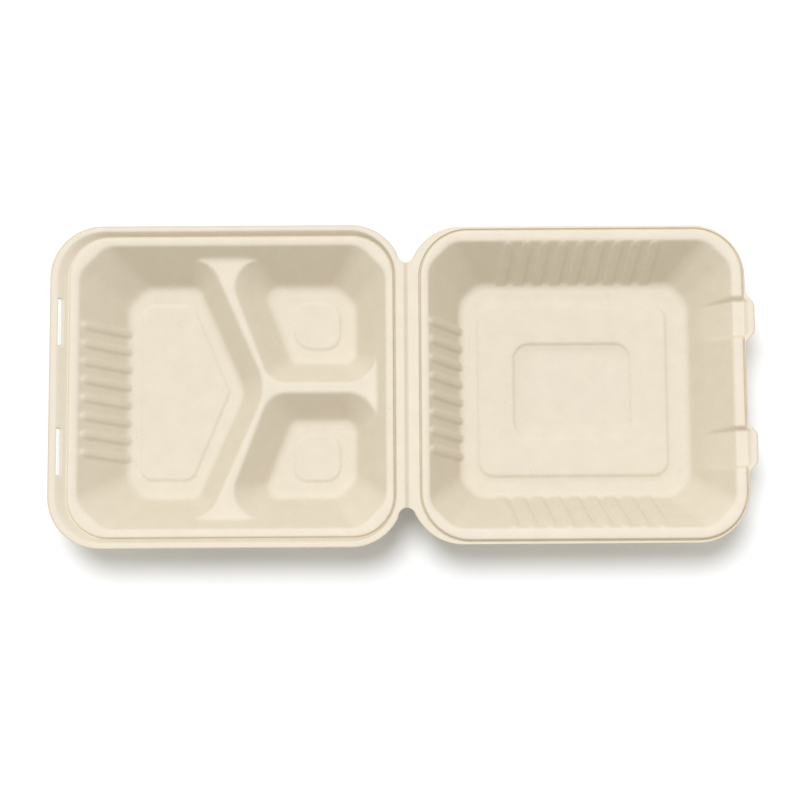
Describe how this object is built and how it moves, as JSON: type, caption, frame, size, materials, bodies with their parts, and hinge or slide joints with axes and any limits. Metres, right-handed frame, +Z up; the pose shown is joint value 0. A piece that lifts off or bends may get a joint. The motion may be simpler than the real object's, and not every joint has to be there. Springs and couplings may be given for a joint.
{
  "type": "clamshell food container",
  "caption": "Moulded-fibre clamshell food container, open: a tray with three compartments and a ribbed lid on a creased hinge strip, closed by two tongues in slots.",
  "frame": {"origin": "centre of the opened container's footprint, on the table", "axes": "+X from the tray to the lid, across the fold; +Y to the back, along the fold; +Z up"},
  "size_m": [0.4606, 0.2116, 0.04],
  "materials": {
    "fibre": "matte"
  },
  "bodies": {
    "tray": {"base": "fibre"},
    "cover": {"lid": "fibre"}
  },
  "joints": [
    {"name": "lid_hinge", "type": "hinge", "parent": "tray", "child": "cover", "pos_m": [0.0023, 0, 0.03815], "axis": [0, -1, 0], "range_deg": [0, 180]}
  ]
}
